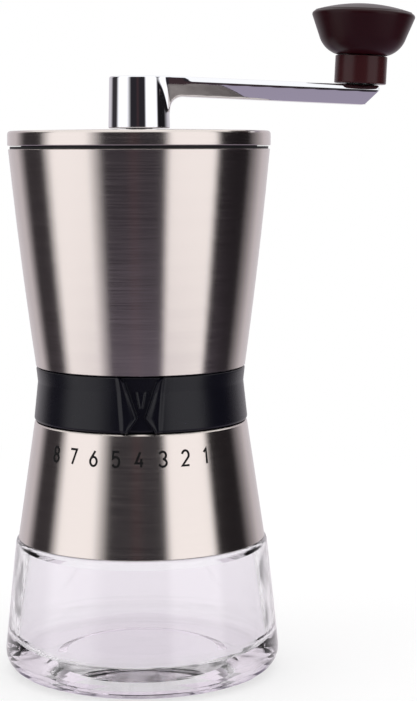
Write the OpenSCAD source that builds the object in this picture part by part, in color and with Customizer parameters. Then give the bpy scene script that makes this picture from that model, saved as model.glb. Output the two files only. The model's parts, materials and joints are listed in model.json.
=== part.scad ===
// Hand crank coffee grinder: glass jar, hourglass steel body, click ring for the grind, lift-off lid and
// crank. Millimetres, +Z up, origin on the mill's axis at the face that the jar stands on. The crank points
// along +X.
// The click ring's pointer faces -Y, a little towards the crank, and stands at setting 4 of 8.

/* [Jar] */
// Widest diameter of the glass jar
jar_d = 85; // [78:1:104]
// Height of the glass below the steel body
jar_h = 41.4; // [35:0.2:50]
// Outside radius of the rounded bottom corner
jar_corner_r = 6.4; // [4:0.2:8]
// Wall of the glass
jar_wall = 3.6; // [3:0.1:4.4]
// Thickness of the glass floor
jar_floor = 8; // [6:0.5:10]
// Depth of the hollow under the floor
jar_punt = 1.6; // [1:0.1:2.5]
// Height of the threaded neck
neck_h = 13.6; // [13.6:0.2:18]
// Outside diameter of the neck, without its thread
neck_d = 62; // [58:0.5:63]
// Rise of the jar thread in one turn
jar_pitch = 5; // [4.2:0.1:6]
// Number of ridges of the jar thread, six to a turn
jar_ridges = 8; // [6:1:8]

/* [Body] */
// Diameter of the steel at its foot, on the jar
foot_d = 76.2; // [74:0.2:91]
// Diameter of the steel at the lid
top_d = 79.5; // [74:0.2:95]
// Height of the lower steel shell
lower_h = 36.3; // [29:0.1:44]
// Height of the click ring's band
band_h = 17; // [15:0.1:20]
// Height of the upper steel shell
upper_h = 65.9; // [53:0.2:80]
// Outward bow of the upper shell's side
shell_bow = 0.35; // [0:0.05:0.8]
// Sheet thickness of both shells
shell_t = 0.6; // [0.5:0.05:0.8]
// Wall of the moulded hopper
hopper_wall = 1.6; // [1.2:0.1:2]
// Step of the lower shell outside the upper one, at the band
shell_step = 0.6; // [0.2:0.1:1]

/* [Burrs] */
// Outside diameter of the ring burr
burr_d = 38; // [31:0.5:46]
// Height of the ring burr
burr_h = 18; // [15:0.5:20]
// Bore of the ring burr at its foot
burr_bore_d = 32; // [26:0.5:33]
// Gap between the burrs at setting 4
burr_gap = 0.5; // [0.45:0.05:0.8]
// Wall of the burr carrier
carrier_wall = 2.4; // [2:0.1:3]
// Height of the thread ridges on the burr carrier
ridge_h = 1; // [0.7:0.1:1.1]
// Rise of the burr carrier's left-hand thread in one turn
adjust_rise = 6; // [5.4:0.1:7]
// Thickness of the pillars that the hopper is screwed to
pillar_t = 7.4; // [5.8:0.1:8.5]

/* [Click ring] */
// Number of grind settings
settings = 8; // [4:1:8]
// Setting that the pointer stands at
setting_now = 4; // [2:1:4]
// Turn of the ring from one setting to the next
click_angle = 11.6; // [8:0.1:12]
// Wall of the click ring
ring_wall = 1.8; // [1.2:0.1:2]
// Turn of the pointer from the front of the mill
pointer_turn = 2.1; // [-10:0.1:10]
// How far the pointer's nose stands out of the ring
nose_proud = 0.7; // [0.3:0.1:1.2]

/* [Drive] */
// Diameter of the drive shaft
shaft_d = 8; // [6.6:0.1:9.6]
// Width across the flats of the shaft's hexagon end
hex_af = 7; // [5.8:0.1:8.4]
// Wall of the shaft bushes
bush_wall = 1.6; // [1.2:0.1:2]
// Wire of the burr spring
spring_wire = 1; // [0.8:0.1:1.3]

/* [Lid] */
// How far the lid stands out beyond the body
lid_overhang = 0.2; // [0:0.1:1]
// Height of the lid at its rim
lid_rim_h = 4.2; // [3:0.1:5]
// Rise of the lid's middle over its rim
lid_dome = 0.7; // [0.5:0.1:2]
// Radius of the lid's top edge
lid_edge_r = 1; // [0.4:0.1:1.2]
// Black line between the lid and the body
lid_gap = 1; // [0.8:0.1:1.6]

/* [Crank] */
// Distance from the shaft to the knob's axis
arm_len = 67; // [55:0.5:80]
// Slope of the arm down towards the knob
arm_slope = 2.7; // [0:0.1:5]
// Width of the arm
arm_w = 10.8; // [9:0.2:13]
// Height of the chamfer along the arm's top edges
arm_edge = 1.6; // [1:0.05:2]
// Tilt of that chamfer from upright
edge_tilt = 28; // [10:1:45]
// Height of the arm's tapered sides and slanted end, under the chamfer
arm_bevel = 4.3; // [3:0.1:4.6]
// Taper of the arm's sides
arm_draft = 15; // [5:1:20]
// Diameter of the hub at its foot
hub_d = 18.7; // [17:0.2:22]
// Height of the hub
hub_h = 15.6; // [13:0.1:20]
// Draft of the hub's side
hub_draft = 1.3; // [0:0.1:2]

/* [Knob] */
// Diameter of the knob at its rim
knob_d = 31; // [27:0.2:38]
// Diameter of the knob's collar
collar_d = 15.7; // [14.6:0.2:18]
// Height of the knob's collar
collar_h = 8.3; // [8:0.1:11]
// Height of the bowl over the collar, up to its rim
bowl_h = 13; // [12:0.1:16]
// Rise of the knob's domed top
knob_dome = 2.6; // [2:0.1:3.5]
// Diameter of the shoulder that the knob turns on
shoulder_d = 6; // [5:0.1:7]

/* [Hidden] */
$fn = 96;

// Clearances
touch = 0.02;
run_gap = 0.08;
slide_gap = 0.15;
free_gap = 0.3;
thread_gap = 0.35;

// Radii of the band, worked out from the burr outwards
burr_r = burr_d / 2;
carrier_in = burr_r + touch;
carrier_r = carrier_in + carrier_wall;
bore_r = carrier_r + ridge_h + thread_gap;
bore_wall = 2.2;
sleeve_r = bore_r + pillar_t;
ring_in = sleeve_r + slide_gap;
ring_r = ring_in + ring_wall;
waist_r = ring_r;
lower_top_r = waist_r + shell_step;
foot_r = foot_d / 2;
top_r = top_d / 2;

// Levels
foot_z = jar_h;
deck_z = foot_z + lower_h;
band_z = deck_z + band_h;
top_z = band_z + upper_h;
lid_z = top_z + lid_gap;
lid_rim_z = lid_z + lid_rim_h;
lid_top_z = lid_rim_z + lid_dome;
hub_z = lid_top_z + free_gap;
hub_top_z = hub_z + hub_h;

// Jar
jar_r = jar_d / 2;
neck_r = neck_d / 2;
neck_in = neck_r - 3.4;
rim_z = foot_z + neck_h;
shoulder_gap = 0.2;
shoulder_z = foot_z - shoulder_gap;
shoulder_r = foot_r + 0.8;
ridge_out = 1.2;
gasket_t = 1.5;
floor_z = rim_z + gasket_t;
jar_thread_z = foot_z + 4.2;

// Core
deck_t = 2;
floor_t = 2;
core_wall = 1.8;
skirt_in = neck_r + ridge_out + thread_gap + 0.15;

// Band: three windows between three pillars, open to the top
lugs = 3;
lug_w = 7;
lug_h = 4;
lug_z = deck_z + 7;
window_z = lug_z - 1.6;
turn_up = (setting_now - 1) * click_angle;
turn_down = (settings - setting_now) * click_angle;
lug_half = asin((lug_w / 2 + 0.6) / (bore_r - 1)) + 1;
window_angle = turn_up + turn_down + 2 * lug_half;
window_mid = (turn_up - turn_down) / 2;
pillar_mid = window_mid + 180 / lugs;
flange_t = 2.2;
core_screw_r = (bore_r + sleeve_r) / 2;

// Burrs
burr_z = deck_z - 17.4;
burr_top_z = burr_z + burr_h;
lip_t = 1.5;
clip_h = 1;
cup_top_z = burr_top_z + clip_h + 0.3;
collar_in = carrier_in + 1.2;
collar_top_z = band_z - 3.3;
bore_foot_r = burr_bore_d / 2;
bore_top_r = bore_foot_r - burr_h * 0.29;
cone_foot_r = bore_foot_r - burr_gap;
cone_z = burr_z - 2.2;
cone_top_z = burr_top_z + 3;
cone_top_r = shaft_d / 2 + 2.6;
ridge_base = 0.9;
ridge_tip = 0.4;
adjust_z = burr_z + 4;

// Shaft
shaft_r = shaft_d / 2;
bush_r = shaft_r + run_gap + bush_wall;
driver_h = 3;
driver_z = cone_z - driver_h;
washer_t = 0.6;
nut_z = driver_z - washer_t;
nut_h = 5;
stud_r = shaft_r - 1;
throat_r = collar_in - 0.7;
throat_z = cup_top_z + 1;
spider_z = band_z - 2.4;
spider_h = 6;
boss_r = bush_r + 2;
spring_top_z = spider_z - 0.05 - washer_t;
bridge_z = top_z - 9;
bridge_t = 3.2;
bridge_top_z = bridge_z + bridge_t;
flange_bush = 0.8;
hex_z = top_z - 0.5;
shaft_top_z = hub_top_z - 2.6;
hex_r = hex_af / sqrt(3);

// Hopper
hopper_gap = 0.9;
hopper_top_z = top_z - 0.3;
funnel_top_z = band_z + upper_h * 0.5;
funnel_foot_z = band_z + 4;
bolt_r = 1.5;
bolt_head_r = 2.7;
bolt_head_h = 1.9;

// Lid
lid_r = top_r + lid_overhang;
sheet_t = 0.8;
edge_rise = 0.25;
lid_hole_r = hex_r + 0.7;
lid_plug_r = mouth_r() - 0.8;
seal_h = 2;

// Knob, in its own frame: origin on the arm's top face, Z along the knob's axis
knob_foot = 0.4;
collar_top = knob_foot + collar_h;
rim_h = collar_top + bowl_h;
bowl_round = 8;
bowl_flare = 18;
washer_r = arm_w / 2 - arm_edge * tan(edge_tilt) - 0.2;
spigot_r = collar_d / 2 - 2.4;
spigot_h = 6;
head_z = collar_top + spigot_h + 0.6;
head_r = shoulder_d / 2 + 1.8;
head_h = 1.8;
cap_r = head_r + 0.8;
arm_t = arm_edge + arm_bevel;
flare_len = 8.6;
flare_w = arm_w / 2 - arm_bevel * tan(arm_draft) - 0.1;
flare_r = (pow(flare_len + hub_d / 2, 2) - pow(hub_d / 2, 2) + pow(flare_w, 2)) / (hub_d - 2 * flare_w);
pin_r = 2;

// Outside radius of the upper shell at height z
function upper_r(z) = let (t = (z - band_z) / upper_h)
    waist_r + (top_r - waist_r) * t + 4 * shell_bow * t * (1 - t);

// Outside radius of the lower shell at height z
function lower_r(z) = foot_r + (lower_top_r - foot_r) * (z - foot_z) / lower_h;

// Outside radius of the hopper's upper wall at height z
function hopper_r(z) = upper_r(z) - shell_t - hopper_gap;

// Inside radius of the hopper's mouth
function mouth_r() = hopper_r(top_z) - hopper_wall;

// Points of an arc in the profile plane
function arc(c, r, a0, a1, n = 6) = [for (i = [0:n]) let (a = a0 + (a1 - a0) * i / n)
    c + r * [cos(a), sin(a)]];

// Points of a side that follows a radius function, from height z0 to z1
function side_up(z0, z1, offset, n = 10) = [for (i = [0:n]) let (z = z0 + (z1 - z0) * i / n)
    [upper_r(z) - offset, z]];

function reversed(list) = [for (i = [len(list) - 1:-1:0]) list[i]];

module lathe(points) {
    rotate_extrude() polygon(points);
}

module ring(r_in, r_out, z0, z1) {
    lathe([[r_in, z0], [r_out, z0], [r_out, z1], [r_in, z1]]);
}

// Repeats its children at equal steps round the axis
module around(count, start = 0) {
    for (i = [0:count - 1]) rotate([0, 0, start + i * 360 / count]) children();
}

// A short ridge of a thread, centred on the X axis and turned about a slightly tilted axis so that it follows
// the helix. Its root is at radius r and its crest at r + out, so a negative out points inwards. Rise is
// for one turn, spread is half the ridge's angle, and hand is 1 for a right-hand thread, or -1.
module thread_ridge(r, out, base, tip, rise, spread, hand = 1) {
    root = r - sign(out) * 0.5;
    crest = r + out;
    rotate([hand * atan(rise / (2 * PI * r)), 0, 0]) rotate([0, 0, -spread])
        rotate_extrude(angle = 2 * spread)
        polygon([[root, -base / 2], [crest, -tip / 2], [crest, tip / 2], [root, base / 2]]);
}

// Right-hand thread between the jar and the body
module jar_ridge_rows(r, out, base, tip, z0) {
    for (k = [0:jar_ridges - 1]) rotate([0, 0, 60 * k]) translate([0, 0, z0 + jar_pitch * k / 6])
        thread_ridge(r, out, base, tip, jar_pitch, 26);
}

// Left-hand thread with three starts between the burr carrier and the body
module adjust_ridge_rows(r, out, rows, z0) {
    for (k = [0:5], j = [0:rows - 1]) rotate([0, 0, 30 + 60 * k])
        translate([0, 0, z0 + j * adjust_rise / 3 - (k % 2) * adjust_rise / 6])
        thread_ridge(r, out, ridge_base, ridge_tip, adjust_rise, 24, -1);
}

// Skins a list of rings of equal length into one closed solid
module tube(rings) {
    m = len(rings[0]);
    n = len(rings);
    sides = [for (i = [0:n - 2], j = [0:m - 1], k = [0, 1]) let (
            a = i * m + j,
            b = i * m + (j + 1) % m,
            c = a + m,
            d = b + m)
        k == 0 ? [a, b, d] : [a, d, c]];
    first = [for (j = [1:m - 2]) [0, j + 1, j]];
    last = [for (j = [1:m - 2]) let (e = (n - 1) * m) [e, e + j, e + j + 1]];
    faces = concat(sides, first, last);
    polyhedron(points = [for (q = rings, p = q) p],
        faces = [for (f = faces) [f[0], f[2], f[1]]]);
}

// A compression spring of round wire round the Z axis, from height 0 to h, with closed ends
module coil_spring(r, wire, h, turns, steps = 20, sides = 8) {
    n = ceil(turns * steps);
    w = wire / 2;
    open_rise = (h - 3 * wire) / (turns - 2);
    function rise(t) = t < 1 ? w + wire * t
        : t > turns - 1 ? h - w - wire * (turns - t)
        : w + wire + (t - 1) * open_rise;
    rings = [for (i = [0:n]) let (t = turns * i / n, a = 360 * t)
        [for (j = [0:sides - 1]) let (b = 360 * j / sides, p = r + w * cos(b))
            [p * cos(a), p * sin(a), rise(t) + w * sin(b)]]];
    tube(rings);
}

module hex_prism(af, z0, z1) {
    translate([0, 0, z0]) cylinder(r = af / sqrt(3), h = z1 - z0, $fn = 6);
}

// ---- Jar ----

module jar_profile() {
    lean = atan((jar_r - shoulder_r) / (shoulder_z - jar_corner_r));
    corner = [jar_r - jar_corner_r, jar_corner_r];
    in_low = jar_r - jar_wall - 0.6;
    in_high = shoulder_r - jar_wall - 0.6;
    in_corner = 5;
    neck_turn = shoulder_z - 3.4;
    edge = 1;
    outside = concat(
        [[0, jar_punt], [jar_r - 19, jar_punt], [jar_r - 16, 0]],
        arc(corner, jar_corner_r, -90, lean),
        arc([shoulder_r - edge, shoulder_z - edge], edge, lean, 90, 4),
        [[neck_r, shoulder_z]],
        arc([neck_r - edge, rim_z - edge], edge, 0, 90, 4));
    inside = concat(
        arc([neck_in + edge, rim_z - edge], edge, 90, 180, 4),
        [[neck_in, shoulder_z + 1], [in_high, neck_turn]],
        arc([in_low - in_corner, jar_floor + in_corner], in_corner, -lean, -90),
        [[jar_r - 24, jar_floor], [0, jar_floor + 0.8]]);
    polygon(concat(outside, inside));
}

module glass_jar() color([0.92, 0.94, 0.96, 0.4]) {
    rotate_extrude() jar_profile();
    jar_ridge_rows(neck_r, ridge_out, 2.4, 1.2, jar_thread_z);
}

module jar_gasket() color("gainsboro") ring(neck_in + 0.3, neck_r - 0.3, rim_z, floor_z);

// ---- Steel shells ----

module lower_shell() color("silver") {
    hem = 0.4;
    hem_r = lower_r(deck_z - hem);
    lathe([[foot_r - shell_t, foot_z], [foot_r - 0.15, foot_z], [foot_r, foot_z + 0.2],
        [hem_r, deck_z - hem], [hem_r - hem, deck_z], [hem_r - shell_t - hem, deck_z],
        [hem_r - shell_t, deck_z - hem]]);
}

module upper_shell() color("silver") {
    outer = side_up(band_z + 0.2, top_z - 0.2, 0);
    inner = side_up(band_z, top_z, shell_t);
    lathe(concat([[waist_r - 0.2, band_z]], outer, [[top_r - 0.2, top_z]], reversed(inner)));
}

// ---- Core of the body ----

module core_solid() {
    skirt_r = skirt_in + core_wall;
    function shell_in(z) = lower_r(z) - shell_t - touch;
    flange_z = foot_z + 0.4;
    flange_top_z = flange_z + 2;
    // Skirt with its foot flange, floor over the jar, cylinder of the burr carrier, deck and ring sleeve
    lathe([[skirt_in, flange_z], [shell_in(flange_z), flange_z], [shell_in(flange_top_z), flange_top_z],
        [skirt_r, flange_top_z], [skirt_r, floor_z + floor_t], [bore_r + bore_wall, floor_z + floor_t],
        [bore_r + bore_wall, deck_z - deck_t], [shell_in(deck_z - deck_t), deck_z - deck_t],
        [shell_in(deck_z - 0.5) - touch, deck_z - 0.5], [sleeve_r, deck_z - 0.5], [sleeve_r, band_z],
        [bore_r, band_z], [bore_r, floor_z], [skirt_in, floor_z]]);
    // Ribs between the floor and the deck
    around(6, 30) translate([bore_r + bore_wall - 0.5, -0.8, floor_z + floor_t - 0.5])
        cube([3, 1.6, deck_z - deck_t - floor_z - floor_t + 1]);
}

module lower_core() color([0.1, 0.1, 0.11]) {
    difference() {
        core_solid();
        // Windows for the ring's lugs, which leave three pillars
        around(lugs, window_mid - window_angle / 2) rotate_extrude(angle = window_angle)
            polygon([[bore_r - 1, window_z], [sleeve_r + 1, window_z], [sleeve_r + 1, band_z + 1],
                [bore_r - 1, band_z + 1]]);
        around(lugs, pillar_mid) translate([core_screw_r, 0, band_z - 10.6])
            cylinder(r = bolt_r, h = 12, $fn = 24);
        rotate([0, 0, -90]) translate([sleeve_r - 5.4, 0, detent_z()]) rotate([0, 90, 0])
            cylinder(r = detent_r() + 0.1, h = 8, $fn = 24);
    }
    jar_ridge_rows(skirt_in, -ridge_out, 1.8, 1, jar_thread_z - jar_pitch / 2);
    adjust_ridge_rows(bore_r, -ridge_h, 4, adjust_z - adjust_rise / 6);
}

module body_screws() color("silver") {
    around(lugs, pillar_mid) translate([core_screw_r, 0, 0]) {
        translate([0, 0, band_z - 9.8]) cylinder(r = bolt_r - touch, h = 9.9 + flange_t, $fn = 24);
        cross_head(band_z + flange_t);
    }
}

// Pan head of a screw with a cross recess, standing on height z
module cross_head(z) {
    difference() {
        translate([0, 0, z]) cylinder(r1 = bolt_head_r, r2 = bolt_head_r - 0.6, h = bolt_head_h, $fn = 32);
        for (a = [0, 90]) rotate([0, 0, a]) translate([-1.5, -0.3, z + bolt_head_h - 0.9]) cube([3, 0.6, 2]);
    }
}

// ---- Hopper ----

module hopper() color([0.12, 0.12, 0.13]) {
    difference() {
        union() {
            hopper_shell();
            // Posts for the upper bearing bridge
            around(3, 90) bridge_post();
        }
        around(lugs, pillar_mid) translate([core_screw_r, 0, band_z - 1])
            cylinder(r = bolt_r, h = 8, $fn = 24);
        around(3, 90) translate([post_r(), 0, bridge_z - 7]) cylinder(r = 1.25, h = 8, $fn = 24);
    }
}

function post_r() = hopper_r(bridge_z) - hopper_wall - 3.4;

module bridge_post() {
    intersection() {
        union() {
            translate([post_r(), 0, bridge_z - 9]) cylinder(r = 3.2, h = 9);
            translate([post_r(), -3.2, bridge_z - 9]) cube([12, 6.4, 9]);
        }
        lathe(concat([[0, bridge_z - 10]], side_up(bridge_z - 10, bridge_z, shell_t + hopper_gap + 0.5, 3),
            [[0, bridge_z]]));
    }
}

// Spider of the lower bearing, pressed into the hopper's throat
module bearing_spider() color([0.14, 0.14, 0.15]) {
    ring(bush_r, boss_r, spider_z, spider_z + spider_h);
    intersection() {
        around(3, 30) translate([boss_r - 0.6, -1.5, spider_z]) cube([throat_r - boss_r, 3, spider_h]);
        cylinder(r = throat_r - hopper_wall - touch, h = spider_z + spider_h + 1);
    }
}

module hopper_shell() {
    wall_out = side_up(funnel_top_z, hopper_top_z, shell_t + hopper_gap, 8);
    wall_in = side_up(funnel_top_z, hopper_top_z, shell_t + hopper_gap + hopper_wall, 8);
    lathe(concat(
        [[throat_r - hopper_wall, throat_z], [throat_r, throat_z], [throat_r, band_z + flange_t],
            [throat_r, funnel_foot_z]],
        wall_out, reversed(wall_in),
        [[throat_r - hopper_wall, funnel_foot_z + 1]]));
    ring(throat_r - 0.5, sleeve_r, band_z, band_z + flange_t);
    ring(throat_r - 0.5, waist_r - shell_t - touch - 0.2, band_z + 0.4, band_z + flange_t);
}

module rim_ring() color([0.08, 0.08, 0.09]) {
    skirt_z = top_z - 4;
    ring_top_z = lid_z - 0.25;
    gap = 0.15;
    lathe([[mouth_r(), top_z], [hopper_r(top_z) + gap + touch, top_z], [hopper_r(skirt_z) + gap, skirt_z],
        [upper_r(skirt_z) - shell_t - gap, skirt_z], [top_r - shell_t - gap, top_z], [top_r - 0.5, top_z],
        [top_r - 0.5, ring_top_z], [mouth_r(), ring_top_z]]);
}

// ---- Upper bearing ----

module bearing_bridge() color([0.14, 0.14, 0.15]) {
    difference() {
        union() {
            ring(bush_r, boss_r + 1, bridge_z - 3, bridge_top_z);
            around(3, 90) {
                translate([boss_r, -3, bridge_z]) cube([post_r() - boss_r, 6, bridge_t]);
                translate([post_r(), 0, bridge_z]) cylinder(r = 3, h = bridge_t);
            }
        }
        around(3, 90) translate([post_r(), 0, bridge_z - 1]) cylinder(r = 1.6, h = 8, $fn = 24);
    }
}

module bridge_screws() color("silver") {
    around(3, 90) translate([post_r(), 0, 0]) {
        translate([0, 0, bridge_z - 6.5]) cylinder(r = 1.25 - touch, h = 6.6 + bridge_t, $fn = 24);
        cross_head(bridge_top_z);
    }
}

module flanged_bush(z0, z1, flange_z) {
    ring(shaft_r + run_gap, bush_r - touch, z0, z1);
    ring(shaft_r + run_gap, bush_r + 1.4, flange_z, flange_z + flange_bush);
}

module upper_bush() color("ivory") flanged_bush(bridge_z - 3, bridge_top_z + flange_bush, bridge_top_z);

module lower_bush() color("ivory")
    flanged_bush(spider_z, spider_z + spider_h + flange_bush, spider_z + spider_h);

// ---- Click ring and its detent ----

function detent_z() = deck_z + 3.2;
function detent_r() = 1.5;

module ring_band() {
    z0 = deck_z + 0.2;
    z1 = band_z - 0.2;
    dip = 0.7;
    lathe(concat(
        [[ring_in, z0]],
        [[ring_r + 0.1, z0], [ring_r + 0.6, z0 + 0.5], [ring_r + 0.75, z0 + 1.4]],
        [for (i = [1:8]) let (t = i / 8, z = z0 + 1.4 + (z1 - z0 - 2) * t)
            [ring_r + 0.75 * (1 - t) - dip * sin(180 * t), z]],
        [[ring_r, z1 - 0.3], [ring_r - 0.3, z1], [ring_in, z1]]));
}

// Nose of the pointer with an hourglass recess
module ring_nose() {
    z0 = deck_z + 0.6;
    z1 = band_z - 1.2;
    mid = z0 + 3.6;
    difference() {
        rotate([90, 0, 0]) linear_extrude(ring_r + nose_proud)
            polygon([[-4.9, z0], [4.9, z0], [5.7, z1], [-5.7, z1]]);
        ring(0, ring_in + 0.2, z0 - 1, z1 + 1);
        translate([0, -ring_r + 0.6, 0]) rotate([90, 0, 0]) linear_extrude(10)
            polygon([[-3.9, z0 - 1], [3.9, z0 - 1], [3.9, z0], [1.3, mid], [4.9, z1], [4.9, z1 + 1],
                [-4.9, z1 + 1], [-4.9, z1], [-1.3, mid], [-3.9, z0]]);
    }
}

module ring_lugs() {
    around(lugs) intersection() {
        translate([carrier_r - 1.6, -lug_w / 2, lug_z]) cube([ring_in - carrier_r + 2.6, lug_w, lug_h]);
        ring(carrier_r - 1.4, ring_in + 0.6, lug_z, lug_z + lug_h);
    }
}

module adjusting_ring() color([0.13, 0.13, 0.14]) {
    difference() {
        union() {
            ring_band();
            rotate([0, 0, pointer_turn]) ring_nose();
            ring_lugs();
        }
        for (i = [1:settings]) rotate([0, 0, -90 + (setting_now - i) * click_angle])
            translate([ring_in - 0.1, 0, deck_z - 1]) cylinder(r = detent_r(), h = 6.4, $fn = 24);
    }
}

module detent_ball() color("silver") rotate([0, 0, -90])
    translate([sleeve_r - detent_r(), 0, detent_z()]) sphere(r = detent_r() - 0.05, $fn = 32);

module detent_spring() color("silver") rotate([0, 0, -90])
    translate([sleeve_r - 5.3, 0, detent_z()]) rotate([0, 90, 0]) coil_spring(1, 0.3, 2.6, 5, 12, 6);

// ---- Burr set ----

module burr_carrier() color([0.2, 0.2, 0.22]) {
    difference() {
        lathe([[bore_foot_r + 0.9, burr_z - lip_t], [carrier_r, burr_z - lip_t],
            [carrier_r, cup_top_z + 3], [carrier_r + 0.5, cup_top_z + 4], [carrier_r + 0.5, collar_top_z],
            [collar_in, collar_top_z], [collar_in, cup_top_z], [carrier_in, cup_top_z],
            [carrier_in, burr_z], [bore_foot_r + 0.9, burr_z]]);
        // Slots for the click ring's lugs
        around(lugs) translate([collar_in - 2, -lug_w / 2 - slide_gap, lug_z - 1.2])
            cube([carrier_r + 4 - collar_in, lug_w + 2 * slide_gap, 30]);
    }
    adjust_ridge_rows(carrier_r, ridge_h, 3, adjust_z);
}

module outer_burr() color("whitesmoke") {
    teeth = 24;
    slant = atan((bore_foot_r - bore_top_r) / burr_h);
    difference() {
        lathe([[bore_foot_r, burr_z], [burr_r, burr_z], [burr_r, burr_top_z - 0.6],
            [burr_r - 0.6, burr_top_z],
            [bore_top_r + 1, burr_top_z], [bore_top_r, burr_top_z - 1]]);
        around(teeth) translate([bore_foot_r, 0, burr_z]) rotate([0, -slant, 0]) rotate([9, 0, 0])
            rotate([0, 0, 45]) translate([-0.8, -0.8, -4]) cube([1.6, 1.6, burr_h + 8]);
    }
}

module burr_clip() color("silver") {
    difference() {
        ring(burr_r - 1.8, carrier_in - touch, burr_top_z, burr_top_z + clip_h);
        translate([0, -1.5, burr_top_z - 1]) cube([burr_r + 2, 3, clip_h + 2]);
    }
}

module inner_burr() color("whitesmoke") {
    teeth = 20;
    flutes = 5;
    knee_z = cone_z + burr_h * 0.45;
    knee_r = cone_foot_r - 3.2;
    slant = atan((cone_foot_r - knee_r) / (knee_z - cone_z - 2));
    difference() {
        lathe([[shaft_r + touch, cone_z], [cone_foot_r - 1.2, cone_z], [cone_foot_r, cone_z + 2],
            [knee_r, knee_z], [cone_top_r, cone_top_z], [shaft_r + touch, cone_top_z]]);
        around(teeth) translate([cone_foot_r, 0, cone_z + 1]) rotate([0, -slant, 0]) rotate([16, 0, 0])
            rotate([0, 0, 45]) translate([-0.7, -0.7, -4]) cube([1.4, 1.4, 16]);
        around(flutes, 9) translate([knee_r + 0.9, 0, knee_z - 1]) rotate([0, -26, 0]) rotate([22, 0, 0])
            rotate([0, 0, 45]) translate([-2.2, -2.2, -1]) cube([4.4, 4.4, 24]);
    }
}

module burr_driver() color([0.15, 0.15, 0.16]) {
    difference() {
        union() {
            ring(shaft_r + touch, cone_foot_r - 5, driver_z, cone_z);
            around(3) translate([cone_foot_r - 6, -2, driver_z]) cube([3.6, 4, driver_h]);
        }
        translate([0, 0, driver_z - 1]) cylinder(r = shaft_r + touch, h = driver_h + 2);
    }
}

module burr_washer() color("silver") ring(stud_r + 0.1, stud_r + 4.2, nut_z, driver_z);

module burr_nut() color("silver") {
    hex = stud_r * 2 * 1.67;
    difference() {
        union() {
            hex_prism(hex, nut_z - nut_h, nut_z);
            translate([0, 0, nut_z - nut_h - 2]) cylinder(r1 = hex * 0.28, r2 = hex * 0.46, h = 2.1);
        }
        translate([0, 0, nut_z - nut_h]) cylinder(r = stud_r + touch, h = nut_h + 1);
    }
}

module spring_washer() color("silver")
    ring(shaft_r + run_gap, bush_r + 1.4, spring_top_z, spring_top_z + washer_t);

module burr_spring() color("silver") translate([0, 0, cone_top_z])
    coil_spring(shaft_r + 0.4 + spring_wire / 2, spring_wire, spring_top_z - cone_top_z, 5);

// ---- Drive shaft ----

module drive_shaft() color("silver") {
    groove_z = bridge_top_z + flange_bush + washer_t;
    difference() {
        union() {
            translate([0, 0, nut_z - nut_h + 0.4]) cylinder(r = stud_r, h = nut_h + washer_t + 1);
            translate([0, 0, driver_z]) cylinder(r = shaft_r, h = hex_z - driver_z);
            hex_prism(hex_af, hex_z - 1, shaft_top_z - 0.6);
            translate([0, 0, shaft_top_z - 0.6]) cylinder(r1 = hex_af / 2, r2 = hex_af / 2 - 0.6, h = 0.6);
        }
        ring(shaft_r - 0.5, shaft_r + 1, groove_z + 0.05, groove_z + 0.95);
    }
}

module shaft_washer() color("silver")
    ring(shaft_r + run_gap, bush_r + 1.2, bridge_top_z + flange_bush, bridge_top_z + flange_bush + washer_t);

module shaft_circlip() color("dimgray") {
    z = bridge_top_z + flange_bush + washer_t + 0.1;
    difference() {
        ring(shaft_r - 0.4, shaft_r + 2, z, z + 0.8);
        translate([0, -shaft_r * 0.6, z - 1]) cube([shaft_r + 4, shaft_r * 1.2, 3]);
    }
}

// ---- Lid ----

// Point of the lid's domed top, with t from 0 at the rounded edge to 1 at the hole for the shaft
function lid_point(t, depth) = [(lid_r - lid_edge_r) * (1 - t) + lid_hole_r * t,
    lid_rim_z + edge_rise - depth + (lid_dome - edge_rise) * sin(90 * t)];

module lid_cover() color("silver") {
    lathe(concat(
        [[lid_r - sheet_t, lid_z], [lid_r - 0.2, lid_z], [lid_r, lid_z + 0.2]],
        arc([lid_r - lid_edge_r, lid_rim_z - lid_edge_r + edge_rise], lid_edge_r, 0, 84),
        [for (i = [1:6]) lid_point(i / 6, 0)],
        [for (i = [6:-1:1]) lid_point(i / 6, sheet_t)],
        [[lid_r - sheet_t - 0.5, lid_rim_z - 0.7], [lid_r - sheet_t, lid_rim_z - 1.2]]));
}

module lid_insert() color([0.1, 0.1, 0.11]) {
    under = lid_rim_z + 0.25 - sheet_t - 0.35;
    plug_z = lid_z - 4.6;
    groove_z = lid_z - 3.4;
    lathe([[lid_hole_r, lid_z - 1.5], [lid_hole_r + 3, lid_z - 1.5], [lid_hole_r + 3, lid_z + 1.2],
        [lid_plug_r - 2.4, lid_z + 1.2], [lid_plug_r - 2.4, plug_z], [lid_plug_r, plug_z],
        [lid_plug_r, groove_z], [lid_plug_r - 1, groove_z], [lid_plug_r - 1, groove_z + seal_h],
        [lid_plug_r, groove_z + seal_h], [lid_plug_r, lid_z], [lid_r - sheet_t - 0.1, lid_z],
        [lid_r - sheet_t - 0.1, under - 1.4], [lid_r - sheet_t - 1.6, under], [lid_hole_r, under]]);
}

module lid_seal() color("gainsboro") {
    z = lid_z - 3.4;
    lathe([[lid_plug_r - 1 + touch, z + touch], [lid_plug_r, z + touch], [lid_plug_r + 0.45, z + seal_h / 2],
        [lid_plug_r, z + seal_h - touch], [lid_plug_r - 1 + touch, z + seal_h - touch]]);
}

// ---- Crank ----

// Puts its children in the knob's frame
module at_knob() {
    translate([arm_len, 0, arm_top(arm_len)]) rotate([0, arm_slope, 0]) children();
}

// Height of the arm's top face at distance x from the shaft
function arm_top(x) = hub_top_z - (x - hub_d / 2) * tan(arm_slope);

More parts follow.
